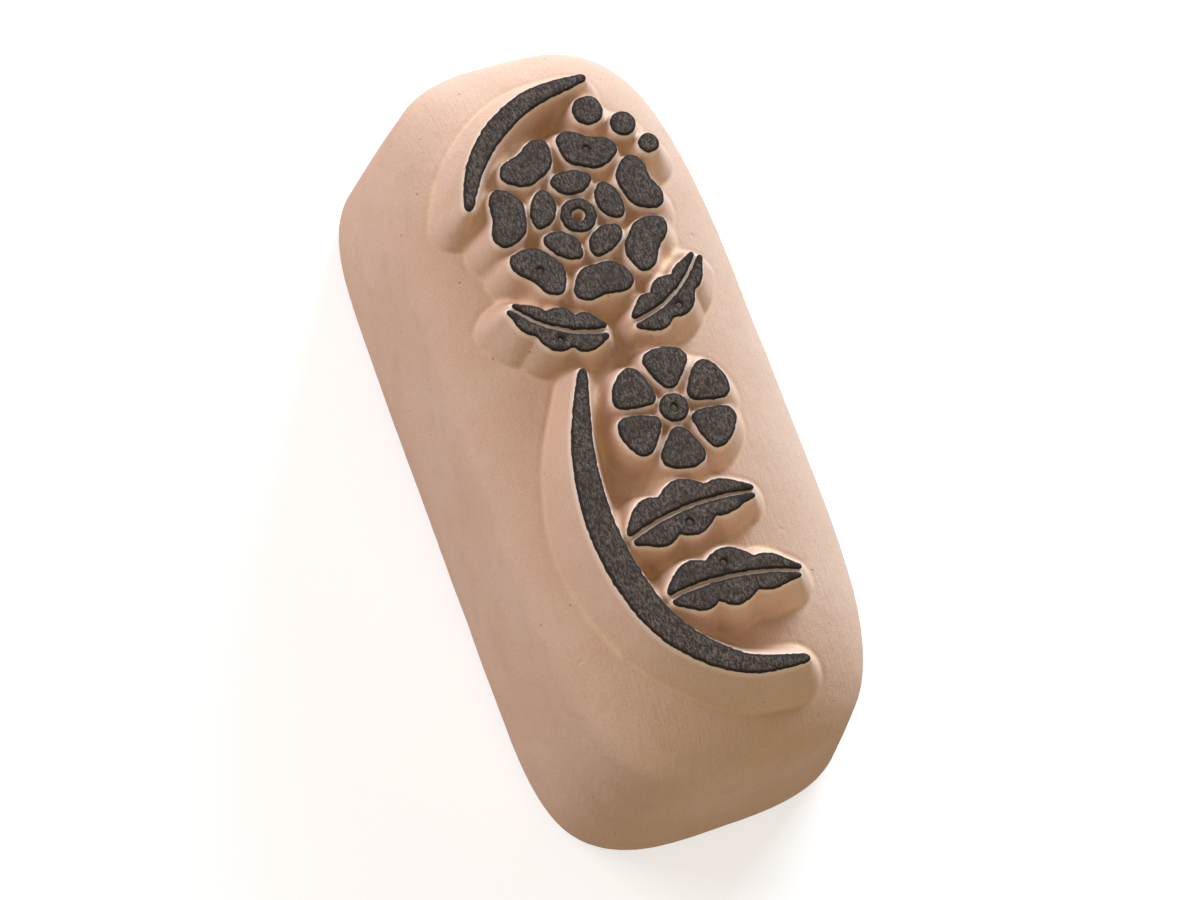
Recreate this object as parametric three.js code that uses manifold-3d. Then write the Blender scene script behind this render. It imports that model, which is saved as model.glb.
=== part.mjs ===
// Temporary tattoo stamp: a solid porous ceramic block with a planar raised relief on its crown.
// Every relief hill has sloping walls and carries a thin dark printing face, a solid of its own.
// Millimetres, +Z up, +Y along the block. The origin is the centre of the flat foot.

import * as THREE from 'three';
import Module from 'manifold-3d';

const wasm = await Module();
wasm.setup();

// Block
const STONE_LENGTH = 90;
const STONE_WIDTH = 40;
const STONE_HEIGHT = 34; // from the foot to the top of the crown
const END_EXPONENT = 3.1; // a low value rounds the block's two ends in plan, a high one squares them
const FOOT_SIDE_EXPONENT = 8.5; // a high value keeps the long sides straight in plan
const SHOULDER_SIDE_EXPONENT = 4.5; // the same from the shoulder up, where they bulge more
const SIDE_TAPER = 0.065; // each side leans in by this much for each unit of height
const FOOT_ROUND = 2.5; // radius of the edge round the foot
const CROWN_DROP = 9.5; // height over which the sides turn into the crown
const CROWN_EXPONENT_ACROSS = 2.25; // section of the crown across the block: 2 is an ellipse
const CROWN_EXPONENT_ALONG = 2.8; // section of the crown along the block

// Relief
const RELIEF_RISE = 3.5; // from the crown to the printing plane
const PRINT_SKIN = 0.25; // thickness of a printing face
const WALL_RUN = 0.45; // a relief wall runs outwards by this much for each unit of depth
const HILL_ROOT = 0.6; // depth of a hill's foot below the block's surface
const PIT_TIP_RADIUS = 0.1; // radius at the bottom of the small pits in the relief

// Artwork: a flowering vine, drawn at these sizes. It shrinks only if its field on the block is too small.
const ART_WIDTH = 23.5;
const END_MARGIN = 9.5; // least distance from the artwork's field to the block's ends
const SIDE_MARGIN = 8.2; // least distance from the artwork's field to the block's sides
const ART_GAP = 1; // between two neighbouring motifs
const EYE_RADIUS = 0.45; // pinholes in some petals and leaves

const VINE_WIDTH = 3;
const STROKE_TIP = 0.6; // width of the vine and of the crescent at their ends
const STROKE_FULLNESS = 0.7; // 1 tapers a stroke along its whole length, 0 keeps it full width

const PETAL_GAP = 0.75; // between two petals of a bloom
const PETAL_ROUNDNESS = 0.66; // 1 rounds a petal's corners most, 0 leaves a sharp wedge
const PETAL_WAIST = 0.85; // span of a petal at its inner end, as a share of the room it has there
const LARGE_BLOOM_RADIUS = 10;
const LARGE_INNER_RADIUS = 5.2; // outer radius of the inner ring of petals
const LARGE_CENTRE_RADIUS = 1.9;
const LARGE_CENTRE_HOLE = 0.9;
const LARGE_PETAL_NOTCH = 0.65; // depth of the dip in an outer petal's rim
const NOTCH_SHARPNESS = 26; // a large value keeps the dip narrow
const SMALL_BLOOM_RADIUS = 6.8;
const SMALL_CENTRE_RADIUS = 1.5;
const SMALL_BLOOM_STANDOFF = 2.4; // between the vine and the small bloom

const NEAR_LEAF_RISE = 9.6; // from the vine's near tip to the base of the nearest leaf
const LEAF_SPACING = 1.6; // between the leaf widths of the two leaves on the vine
const LEAF_BOW = 1.6; // how far a leaf's middle rises above its base
const LEAF_LENGTH = 14.5;
const LEAF_WIDTH = 6.4;
const BUD_LEAF_LENGTH = 11; // the two leaves that hug the large bloom
const BUD_LEAF_WIDTH = 5;
const MIDRIB_GAP = 0.8; // between the halves of a leaf, at its base
const MIDRIB_TIP_GAP = 0.6; // the same at its tip
const LEAF_END = 0.3; // width of a leaf half at its two ends
const LEAF_FULLEST = 0.75; // under 1 moves a leaf's widest place towards its base
const EYE_ALONG_LEAF = 0.45; // a leaf's pinhole, as a share of its length
const LOBE_DEPTH = 0.42; // notches between a leaf's lobes, as a share of its half width

const CRESCENT_WIDTH = 2.1;
const CRESCENT_SPREAD = 4.4; // how far the crescent's far tip draws away from the bloom
const CRESCENT_RISE = 2.4; // how much of that lies along the block
const FIRST_BERRY_RADIUS = 1.6;
const BERRY_STEP = 0.28; // each berry is smaller than the last by this much

// Counts
const PLAN_POINTS = 72;
const FOOT_RINGS = 4;
const CROWN_RINGS = 11;
const CROWN_SPACING = 0.55; // under 1 draws the crown's rings closer together near its top
const VINE_STEPS = 24;
const CRESCENT_STEPS = 14;
const LEAF_LOBES = 3;
const LOBE_STEPS = 5;
const MIDRIB_STEP = 3; // the straight edge of a leaf half takes every third point
const PETAL_POINTS = 18;
const ROUND_POINTS = 16;
const EYE_POINTS = 10;
const LARGE_OUTER_PETALS = 7;
const EYE_EVERY = 3; // every third outer petal has a pinhole
const LARGE_INNER_PETALS = 5;
const SMALL_PETALS = 6;
const BERRIES = 3;
const FOOT_PASSES = 4;
const HALVINGS = 30; // of a range in which a value is searched for

const PRINT_PLANE = STONE_HEIGHT + RELIEF_RISE;
const HILL_TOP = PRINT_PLANE - PRINT_SKIN;
const SHOULDER = STONE_HEIGHT - CROWN_DROP;

// Levels of the motifs, counted along the block from the near tip of the vine
const MIDDLE_LEAF_RISE = NEAR_LEAF_RISE + LEAF_WIDTH + LEAF_SPACING;
const SMALL_BLOOM_RISE = MIDDLE_LEAF_RISE + LEAF_BOW + LEAF_WIDTH / 2 + ART_GAP + SMALL_BLOOM_RADIUS;
const VINE_RISE = SMALL_BLOOM_RISE + SMALL_BLOOM_RADIUS;
const LARGE_BLOOM_RISE = VINE_RISE + ART_GAP + BUD_LEAF_WIDTH + ART_GAP + LARGE_BLOOM_RADIUS;
const ART_LENGTH = LARGE_BLOOM_RISE + LARGE_BLOOM_RADIUS + ART_GAP + CRESCENT_WIDTH + CRESCENT_RISE;

const ART_SCALE = Math.min(
  1,
  (STONE_LENGTH - 2 * END_MARGIN) / ART_LENGTH,
  (STONE_WIDTH - 2 * SIDE_MARGIN) / ART_WIDTH,
);

const degrees = THREE.MathUtils.degToRad;

function sideExponent(height) {
  return THREE.MathUtils.lerp(FOOT_SIDE_EXPONENT, SHOULDER_SIDE_EXPONENT, Math.min(1, height / SHOULDER));
}

// Half width and half length of the block at a height above its foot round.
function halfSizes(height) {
  const climb = Math.max(0, (height - SHOULDER) / CROWN_DROP);
  const halfSize = (full, exponent) => {
    const crown = full / 2 - SIDE_TAPER * STONE_HEIGHT;
    const inset = crown * (1 - Math.pow(Math.max(0, 1 - Math.pow(climb, exponent)), 1 / exponent));
    return full / 2 - SIDE_TAPER * height - inset;
  };
  return [halfSize(STONE_WIDTH, CROWN_EXPONENT_ACROSS), halfSize(STONE_LENGTH, CROWN_EXPONENT_ALONG)];
}

// A level rounded rectangle, a superellipse with an exponent each way, its points closest at the corners.
function planRing(halfWidth, halfLength, height) {
  const ring = [];
  const powerAcross = 2 / END_EXPONENT;
  const powerAlong = 2 / sideExponent(height);
  for (let i = 0; i < PLAN_POINTS; i += 1) {
    const angle = (2 * Math.PI * i) / PLAN_POINTS;
    const x = Math.sign(Math.cos(angle)) * Math.pow(Math.abs(Math.cos(angle)), powerAcross);
    const y = Math.sign(Math.sin(angle)) * Math.pow(Math.abs(Math.sin(angle)), powerAlong);
    ring.push(new THREE.Vector3(halfWidth * x, halfLength * y, height));
  }
  return ring;
}

function solidGeometry(points, triangles) {
  const geometry = new THREE.BufferGeometry();
  geometry.setAttribute('position', new THREE.Float32BufferAttribute(points.flatMap((p) => p.toArray()), 3));
  geometry.setIndex(triangles.flat());
  return geometry;
}

// A closed solid through level rings, from the lowest to the highest, with a middle point on each end.
function ringSolid(rings) {
  const size = rings[0].length;
  const points = rings.flat();
  const bottom = points.push(new THREE.Vector3(0, 0, rings[0][0].z)) - 1;
  const top = points.push(new THREE.Vector3(0, 0, rings.at(-1)[0].z)) - 1;
  const triangles = [];
  const last = (rings.length - 1) * size;
  for (let i = 0; i < size; i += 1) {
    const next = (i + 1) % size;
    triangles.push([bottom, next, i], [top, last + i, last + next]);
    for (let low = 0; low < last; low += size) {
      triangles.push([low + i, low + next, low + size + next], [low + i, low + size + next, low + size + i]);
    }
  }
  return solidGeometry(points, triangles);
}

function blockGeometry() {
  const rings = [];
  for (let i = 0; i <= FOOT_RINGS; i += 1) {
    const turn = (Math.PI / 2) * (i / FOOT_RINGS);
    const height = FOOT_ROUND * (1 - Math.cos(turn));
    const inset = FOOT_ROUND * (1 - Math.sin(turn)) + SIDE_TAPER * height;
    rings.push(planRing(STONE_WIDTH / 2 - inset, STONE_LENGTH / 2 - inset, height));
  }
  for (let i = 0; i < CROWN_RINGS; i += 1) {
    const climb = Math.pow(Math.sin((Math.PI / 2) * (i / CROWN_RINGS)), CROWN_SPACING);
    const height = SHOULDER + CROWN_DROP * climb;
    rings.push(planRing(...halfSizes(height), height));
  }
  const geometry = ringSolid(rings);
  geometry.attributes.position.setZ(geometry.attributes.position.count - 1, STONE_HEIGHT);
  return geometry;
}

// The straight-sided space above the foot that the relief is trimmed to.
function envelopeGeometry() {
  const ringAt = (height) => {
    const inset = SIDE_TAPER * height;
    return planRing(STONE_WIDTH / 2 - inset, STONE_LENGTH / 2 - inset, height);
  };
  return ringSolid([ringAt(FOOT_ROUND), ringAt(SHOULDER), ringAt(PRINT_PLANE)]);
}

// Height of the block's surface above a point of its plan.
function stoneTopAt(point) {
  let low = FOOT_ROUND;
  let high = STONE_HEIGHT;
  for (let i = 0; i < HALVINGS; i += 1) {
    const height = (low + high) / 2;
    const [halfWidth, halfLength] = halfSizes(height);
    const across = Math.pow(Math.abs(point.x) / halfWidth, END_EXPONENT);
    const along = Math.pow(Math.abs(point.y) / halfLength, sideExponent(height));
    if (across + along < 1) low = height;
    else high = height;
  }
  return low;
}

// A closed loop moved away from its material's inside, each point square to its two neighbours.
function grow(loop, distance) {
  return loop.map((point, i) => {
    const before = loop.at(i - 1);
    const after = loop[(i + 1) % loop.length];
    const along = after.clone().sub(before).normalize();
    return new THREE.Vector2(point.x + along.y * distance, point.y - along.x * distance);
  });
}

// A solid between two levels. Each level has an outer loop, anticlockwise, then its clockwise holes.
function taperedSolid(topLoops, topHeight, bottomLoops, bottomHeight) {
  const points = [];
  const triangles = [];
  const addLevel = (loops, height) => {
    const start = points.length;
    loops.flat().forEach((p) => points.push(new THREE.Vector3(p.x, p.y, height)));
    const faceList = THREE.ShapeUtils.triangulateShape(loops[0], loops.slice(1));
    return faceList.map((face) => face.map((i) => start + i));
  };
  addLevel(topLoops, topHeight).forEach((face) => triangles.push(face));
  const below = points.length;
  addLevel(bottomLoops, bottomHeight).forEach(([a, b, c]) => triangles.push([a, c, b]));
  let start = 0;
  topLoops.forEach((loop) => {
    loop.forEach((_, i) => {
      const here = start + i;
      const next = start + ((i + 1) % loop.length);
      triangles.push([below + here, below + next, next], [below + here, next, here]);
    });
    start += loop.length;
  });
  return solidGeometry(points, triangles);
}

function circle(centre, radius, count) {
  const loop = [];
  for (let i = 0; i < count; i += 1) {
    const angle = (2 * Math.PI * i) / count;
    loop.push(new THREE.Vector2(centre.x + radius * Math.cos(angle), centre.y + radius * Math.sin(angle)));
  }
  return loop;
}

const eye = (centre, radius = EYE_RADIUS) => circle(centre, radius, EYE_POINTS).reverse();

// A point of the artwork, by a share of its half width and a level above the near tip of the vine.
function artPoint(across, rise) {
  return new THREE.Vector2((across * ART_WIDTH) / 2, rise - ART_LENGTH / 2);
}

function polar(centre, radius, angle) {
  return new THREE.Vector2(centre.x + radius * Math.cos(angle), centre.y + radius * Math.sin(angle));
}

// A point to the left of a curve, looking along it.
function besideCurve(curve, share, distance) {
  const point = curve.getPointAt(share);
  const along = curve.getTangentAt(share);
  return new THREE.Vector2(point.x - along.y * distance, point.y + along.x * distance);
}

// A brush stroke along a curve, widest in the middle, with round narrow ends.
function stroke(curve, width, steps) {
  const right = [];
  const left = [];
  for (let i = 0; i <= steps; i += 1) {
    const share = i / steps;
    const swell = Math.pow(Math.sin(Math.PI * share), STROKE_FULLNESS);
    const half = THREE.MathUtils.lerp(STROKE_TIP, width, swell) / 2;
    right.push(besideCurve(curve, share, -half));
    left.unshift(besideCurve(curve, share, half));
  }
  const end = curve.getPointAt(1).addScaledVector(curve.getTangentAt(1), STROKE_TIP / 2);
  const start = curve.getPointAt(0).addScaledVector(curve.getTangentAt(0), -STROKE_TIP / 2);
  return [...right, end, ...left, start];
}

// A petal of a ring of petals: a rounded wedge that keeps the petal gap to its neighbours.
function petal(centre, innerRadius, outerRadius, angle, count, notch = 0) {
  const loop = [];
  const middle = (innerRadius + outerRadius) / 2;
  const reach = (outerRadius - innerRadius) / 2;
  for (let i = 0; i < PETAL_POINTS; i += 1) {
    const turn = (2 * Math.PI * i) / PETAL_POINTS;
    const radial = Math.sign(Math.cos(turn)) * Math.pow(Math.abs(Math.cos(turn)), PETAL_ROUNDNESS);
    const sideways = Math.sign(Math.sin(turn)) * Math.pow(Math.abs(Math.sin(turn)), PETAL_ROUNDNESS);
    const dip = notch * Math.pow(Math.max(0, Math.cos(turn)), NOTCH_SHARPNESS);
    const radius = middle + reach * radial - dip;
    const room = Math.PI / count - PETAL_GAP / 2 / radius;
    const halfSpan = room * THREE.MathUtils.lerp(PETAL_WAIST, 1, (radial + 1) / 2);
    loop.push(polar(centre, radius, angle + halfSpan * sideways));
  }
  return loop;
}

// One half of a leaf, on the left (side 1) or the right (side -1) of its midrib.
function leafHalf(midrib, width, side, lobeDepth) {
  const inner = [];
  const outer = [];
  const steps = LEAF_LOBES * LOBE_STEPS;
  for (let i = 0; i <= steps; i += 1) {
    const share = i / steps;
    const gap = THREE.MathUtils.lerp(MIDRIB_GAP, MIDRIB_TIP_GAP, share) / 2;
    const swell = Math.sin(Math.PI * Math.pow(share, LEAF_FULLEST));
    const lobe = 1 - lobeDepth * (1 - Math.abs(Math.sin(Math.PI * LEAF_LOBES * share)));
    const half = LEAF_END + (width / 2 - gap - LEAF_END) * swell * lobe;
    if (i % MIDRIB_STEP === 0) inner.push(besideCurve(midrib, share, side * gap));
    outer.unshift(besideCurve(midrib, share, side * (gap + half)));
  }
  const loop = [...inner, ...outer];
  return side > 0 ? loop : loop.reverse();
}

// The artwork's faces: name, outline, the smooth outline that the hill's foot follows, and pinholes.
const faces = [];

function addFace(name, outline, { foot = outline, holes = [] } = {}) {
  const toBlock = (loop) => loop.map((point) => point.clone().multiplyScalar(ART_SCALE));
  faces.push({ name, outline: toBlock(outline), foot: toBlock(foot), holes: holes.map(toBlock) });
}

// Both halves of a leaf. The half on eyeSide has a pinhole.
function addLeaf(name, midrib, width, eyeSide) {
  [['left', 1], ['right', -1]].forEach(([sideName, side]) => {
    const eyePlace = besideCurve(midrib, EYE_ALONG_LEAF, (side * width) / 4);
    addFace(`${name}_${sideName}`, leafHalf(midrib, width, side, LOBE_DEPTH), {
      foot: leafHalf(midrib, width, side, 0),
      holes: side === eyeSide ? [eye(eyePlace)] : [],
    });
  });
}

// A leaf's midrib, straight from its base but for a slight bend.
function bentMidrib(base, angle, bend) {
  const middle = polar(base, LEAF_LENGTH / 2, angle + bend);
  return new THREE.QuadraticBezierCurve(base, middle, polar(base, LEAF_LENGTH, angle));
}

// Vine, from its near tip to its far tip, and the two leaves that spring from it.
const vine = new THREE.SplineCurve([
  artPoint(0.5, 0),
  artPoint(-0.1, 0.05 * VINE_RISE),
  artPoint(-0.62, 0.22 * VINE_RISE),
  artPoint(-0.84, 0.48 * VINE_RISE),
  artPoint(-0.78, 0.75 * VINE_RISE),
  artPoint(-0.5, VINE_RISE),
]);

// How far along the vine it reaches a level, as a share of its length.
function vineShareAt(rise) {
  const level = rise - ART_LENGTH / 2;
  let low = 0;
  let high = 1;
  for (let i = 0; i < HALVINGS; i += 1) {
    const share = (low + high) / 2;
    if (vine.getPointAt(share).y < level) low = share;
    else high = share;
  }
  return low;
}

// A point to the right of the vine, clear of it.
const rightOfVine = (rise) => besideCurve(vine, vineShareAt(rise), -(VINE_WIDTH / 2 + ART_GAP));

addFace('vine_face', stroke(vine, VINE_WIDTH, VINE_STEPS));

addLeaf('near_leaf', bentMidrib(rightOfVine(NEAR_LEAF_RISE), degrees(-6), degrees(16)), LEAF_WIDTH, 1);
addLeaf('middle_leaf', bentMidrib(rightOfVine(MIDDLE_LEAF_RISE), degrees(4), degrees(16)), LEAF_WIDTH, -1);

// Small bloom, to the right of the vine.
const smallBloom = vine.getPointAt(vineShareAt(SMALL_BLOOM_RISE));
smallBloom.x += VINE_WIDTH / 2 + SMALL_BLOOM_STANDOFF + SMALL_BLOOM_RADIUS;
addFace('small_bloom_centre', circle(smallBloom, SMALL_CENTRE_RADIUS, ROUND_POINTS), {
  holes: [eye(smallBloom)],
});
for (let i = 0; i < SMALL_PETALS; i += 1) {
  const angle = degrees(20) + (2 * Math.PI * i) / SMALL_PETALS;
  const inner = SMALL_CENTRE_RADIUS + PETAL_GAP;
  addFace(`small_bloom_petal_${i + 1}`, petal(smallBloom, inner, SMALL_BLOOM_RADIUS, angle, SMALL_PETALS));
}

// Large bloom, at the far end: a ring-shaped centre and two rings of petals.
const largeBloom = artPoint(0, LARGE_BLOOM_RISE);
addFace('large_bloom_centre', circle(largeBloom, LARGE_CENTRE_RADIUS, ROUND_POINTS), {
  holes: [eye(largeBloom, LARGE_CENTRE_HOLE)],
});
for (let i = 0; i < LARGE_INNER_PETALS; i += 1) {
  const angle = degrees(10) + (2 * Math.PI * i) / LARGE_INNER_PETALS;
  const inner = LARGE_CENTRE_RADIUS + PETAL_GAP;
  const outline = petal(largeBloom, inner, LARGE_INNER_RADIUS, angle, LARGE_INNER_PETALS);
  addFace(`large_bloom_inner_${i + 1}`, outline);
}
for (let i = 0; i < LARGE_OUTER_PETALS; i += 1) {
  const angle = degrees(12) + (2 * Math.PI * i) / LARGE_OUTER_PETALS;
  const inner = LARGE_INNER_RADIUS + PETAL_GAP;
  const outline = petal(largeBloom, inner, LARGE_BLOOM_RADIUS, angle, LARGE_OUTER_PETALS, LARGE_PETAL_NOTCH);
  const eyePlace = polar(largeBloom, (inner + LARGE_BLOOM_RADIUS) / 2, angle);
  addFace(`large_bloom_outer_${i + 1}`, outline, { holes: i % EYE_EVERY === 1 ? [eye(eyePlace)] : [] });
}

// Two leaves that hug the large bloom from below.
const hugRadius = LARGE_BLOOM_RADIUS + ART_GAP + BUD_LEAF_WIDTH / 2;
const hugSpan = BUD_LEAF_LENGTH / hugRadius;
[['left_leaf', -97, -1], ['right_leaf', -83, 1]].forEach(([name, startDegrees, direction]) => {
  const start = degrees(startDegrees);
  const end = start + direction * hugSpan;
  const clockwise = direction < 0;
  const { x, y } = largeBloom;
  const arc = new THREE.EllipseCurve(x, y, hugRadius, hugRadius, start, end, clockwise);
  addLeaf(name, arc, BUD_LEAF_WIDTH, -direction);
});

// A crescent that opens away from the large bloom, and a row of berries beside it.
const crescentPoints = [0, 0.25, 0.5, 0.75, 1].map((share) => {
  const nearest = LARGE_BLOOM_RADIUS + ART_GAP + CRESCENT_WIDTH / 2;
  return polar(largeBloom, nearest + CRESCENT_SPREAD * share * share, degrees(160 - 92 * share));
});
addFace('crescent_face', stroke(new THREE.SplineCurve(crescentPoints), CRESCENT_WIDTH, CRESCENT_STEPS));
let berryAngle = degrees(65);
for (let i = 0; i < BERRIES; i += 1) {
  const radius = FIRST_BERRY_RADIUS - BERRY_STEP * i;
  const distance = LARGE_BLOOM_RADIUS + ART_GAP + radius;
  addFace(`berry_${i + 1}`, circle(polar(largeBloom, distance, berryAngle), radius, ROUND_POINTS));
  berryAngle -= (2 * radius + ART_GAP) / distance;
}

function toManifold(geometry) {
  return new wasm.Manifold(new wasm.Mesh({
    numProp: 3,
    vertProperties: geometry.attributes.position.array,
    triVerts: Uint32Array.from(geometry.index.array),
  }));
}

function fromManifold(solid) {
  const { vertProperties, triVerts } = solid.getMesh();
  const geometry = new THREE.BufferGeometry();
  geometry.setAttribute('position', new THREE.BufferAttribute(vertProperties, 3));
  geometry.setIndex(new THREE.BufferAttribute(triVerts, 1));
  return geometry;
}

// Level of a hill's flat foot, inside the block all the way round.
function hillFootLevel(outline) {
  let level = STONE_HEIGHT - HILL_ROOT;
  for (let pass = 0; pass < FOOT_PASSES; pass += 1) {
    const foot = grow(outline, WALL_RUN * (PRINT_PLANE - level));
    level = Math.max(SHOULDER, Math.min(...foot.map(stoneTopAt)) - HILL_ROOT);
  }
  return level;
}

function hillGeometry(face) {
  const level = hillFootLevel(face.foot);
  const foot = grow(face.foot, WALL_RUN * (PRINT_PLANE - level));
  return taperedSolid([grow(face.outline, WALL_RUN * PRINT_SKIN)], HILL_TOP, [foot], level);
}

// The cone under a pinhole, open to the printing plane.
function pitGeometry(hole) {
  const centre = hole.reduce((sum, point) => sum.add(point), new THREE.Vector2()).divideScalar(hole.length);
  const radius = hole[0].distanceTo(centre);
  const depth = (radius - PIT_TIP_RADIUS) / WALL_RUN;
  const tip = circle(centre, PIT_TIP_RADIUS, hole.length);
  return taperedSolid([circle(centre, radius, hole.length)], PRINT_PLANE, [tip], PRINT_PLANE - depth);
}

function stoneGeometry() {
  const hills = faces.map((face) => toManifold(hillGeometry(face))).reduce((all, hill) => all.add(hill));
  const relief = hills.intersect(toManifold(envelopeGeometry()));
  const pits = faces.flatMap((face) => face.holes).map((hole) => toManifold(pitGeometry(hole)));
  const stone = toManifold(blockGeometry()).add(relief);
  return fromManifold(pits.reduce((solid, pit) => solid.subtract(pit), stone));
}

const stoneMaterial = new THREE.MeshStandardMaterial({ color: 0xdcbda3, roughness: 0.95, metalness: 0 });
const inkMaterial = new THREE.MeshStandardMaterial({ color: 0x3a3634, roughness: 0.85, metalness: 0 });

const stamp = new THREE.Group();

function addPiece(name, geometry, material, position) {
  geometry.computeVertexNormals();
  const mesh = new THREE.Mesh(geometry, material);
  mesh.name = name;
  mesh.position.copy(position);
  stamp.add(mesh);
}

addPiece('stone_body', stoneGeometry(), stoneMaterial, new THREE.Vector3(0, 0, 0));

faces.forEach(({ name, outline, holes }) => {
  const loops = [outline, ...holes];
  const grownLoops = loops.map((loop) => grow(loop, WALL_RUN * PRINT_SKIN));
  const skin = taperedSolid(loops, PRINT_SKIN, grownLoops, 0);
  addPiece(name, skin, inkMaterial, new THREE.Vector3(0, 0, HILL_TOP));
});

export default stamp;
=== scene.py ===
# Temporary tattoo stamp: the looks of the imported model, for Blender.
# Lengths are in millimetres until a mesh, lamp or camera is made, with +Z up and +Y along the block.
# The frame gives the outlines of the printing faces. The block is built again, finely, from the same
# named values as the solid model, with the relief as a smooth field over it.

import math

import bpy
import numpy as np
from mathutils import Matrix, Vector, noise
from mathutils.geometry import delaunay_2d_cdt


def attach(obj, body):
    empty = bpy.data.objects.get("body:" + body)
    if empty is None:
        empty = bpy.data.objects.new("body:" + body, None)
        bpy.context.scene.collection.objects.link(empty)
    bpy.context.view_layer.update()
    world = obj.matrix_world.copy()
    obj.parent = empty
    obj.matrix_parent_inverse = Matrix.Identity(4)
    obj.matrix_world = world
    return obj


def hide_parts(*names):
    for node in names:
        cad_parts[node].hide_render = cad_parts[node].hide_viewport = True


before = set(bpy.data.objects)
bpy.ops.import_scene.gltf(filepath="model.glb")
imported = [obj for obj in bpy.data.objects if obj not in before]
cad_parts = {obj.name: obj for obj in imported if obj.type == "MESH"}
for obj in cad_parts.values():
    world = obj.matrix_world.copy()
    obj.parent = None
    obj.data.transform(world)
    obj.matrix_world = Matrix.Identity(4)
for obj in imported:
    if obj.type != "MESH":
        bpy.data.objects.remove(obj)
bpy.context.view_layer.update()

MM = 0.001

# Block, as in the solid model
STONE_LENGTH = 90
STONE_WIDTH = 40
STONE_HEIGHT = 34
END_EXPONENT = 3.1  # a low value rounds the block's two ends in plan
FOOT_SIDE_EXPONENT = 8.5  # a high value keeps the long sides straight
SHOULDER_SIDE_EXPONENT = 4.5
SIDE_TAPER = 0.065
FOOT_ROUND = 2.5
CROWN_DROP = 9.5
CROWN_EXPONENT_ACROSS = 2.25
CROWN_EXPONENT_ALONG = 2.8
RELIEF_RISE = 3.5
WALL_RUN = 0.45
PRINT_PLANE = STONE_HEIGHT + RELIEF_RISE
SHOULDER = STONE_HEIGHT - CROWN_DROP

# Relief
HILL_FILLET = 0.25  # where a hill meets the block
VALLEY_FILLET = 1.4  # where two hills meet
CREASE_WIDTH = 0.5  # of the shallow groove along a hill's foot
CREASE_DEPTH = 0.1
TRIM_FILLET = 0.6  # where a hill reaches the block's side
STONE_TUCK = 0.2  # how far the stone stays below a printing face
TUCK_REACH = 0.3  # distance from an outline over which the stone comes back up to the wall
HILL_REACH = 7  # beyond this distance a hill lies inside the block
NO_HILL = 20
HIGHEST_RISE = 12  # no surface of the relief lies further than this from the block
DISTANCES_AT_ONCE = 4096

# Stone mesh
CELLS_ACROSS = 220
CELLS_ALONG = 500
JUNCTION_CLIMB = 0.5  # share of the crown's drop at which the cells of the top give way to rings
SHOULDER_RINGS = 24
SIDE_RINGS = 22
FOOT_RINGS = 7
BASE_RINGS = 3
TURN_START = 0.92  # share of the way to the junction where points begin to move out and not only up
TURN_RINGS = 5
JUNCTION = SHOULDER + CROWN_DROP * JUNCTION_CLIMB
RASTER_CELL = 0.25
HALVINGS = 26
CROWN_HALVINGS = 36
HOLLOW_PASSES = 30

# Wear of the stone
WAVE_LENGTH = 14
WAVE_DEPTH = 0.09
LUMP_LENGTH = 1.4
LUMP_DEPTH = 0.02
PORES = 16
PORE_SEED = 7
SMALLEST_PORE = 0.22  # radius
LARGEST_PORE = 0.4
PORE_DEPTH = 0.35  # share of its radius

# Outlines
OUTLINE_SPACING = 0.14
CORNER_DEGREES = 50
CORNER_PASSES = 3
OUTLINE_WAVER = 0.075
WAVER_LENGTH = 0.7

# Printing faces
RIM_ROUND = 0.06
SKIRT_DEPTH = 0.22  # how far the ink reaches down a wall
SKIRT_UNEVEN = 0.09
SKIRT_UNEVEN_LENGTH = 0.8
SKIRT_PROUD = 0.07
SKIRT_TUCK = 0.12  # how far the skirt's lower edge turns back into the stone
FACE_CELL = 0.4
FACE_THICKNESS = 0.25

# Each piece of ink, and how the names of the faces under it start
MOTIFS = {
    "vine_ink": "vine_face",
    "near_leaf_ink": "near_leaf_",
    "middle_leaf_ink": "middle_leaf_",
    "small_bloom_ink": "small_bloom_",
    "large_bloom_ink": "large_bloom_",
    "left_leaf_ink": "left_leaf_",
    "right_leaf_ink": "right_leaf_",
    "crescent_ink": "crescent_face",
    "berries_ink": "berry_",
}


def smoothstep(value, start, end):
    share = np.clip((value - start) / (end - start), 0, 1)
    return share * share * (3 - 2 * share)


def smooth_max(a, b, width):
    overlap = np.maximum(width - np.abs(a - b), 0) / width
    return np.maximum(a, b) + overlap * overlap * width / 4


def smooth_min(a, b, width):
    return -smooth_max(-a, -b, width)


def noise_at(points, size, detail=2, shift=0.0):
    """Smooth noise from -1 to 1, with hills about as wide as size."""
    out = np.empty(len(points))
    for i, p in enumerate(points):
        at = Vector((p[0] / size + shift, p[1] / size - shift, (p[2] if len(p) > 2 else 0) / size))
        out[i] = noise.fractal(at, 1.0, 2.0, detail)
    return np.clip(out, -1, 1)


# Outlines of the printing faces


def area(loop):
    after = np.roll(loop, -1, axis=0)
    return 0.5 * np.sum(loop[:, 0] * after[:, 1] - after[:, 0] * loop[:, 1])


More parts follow.
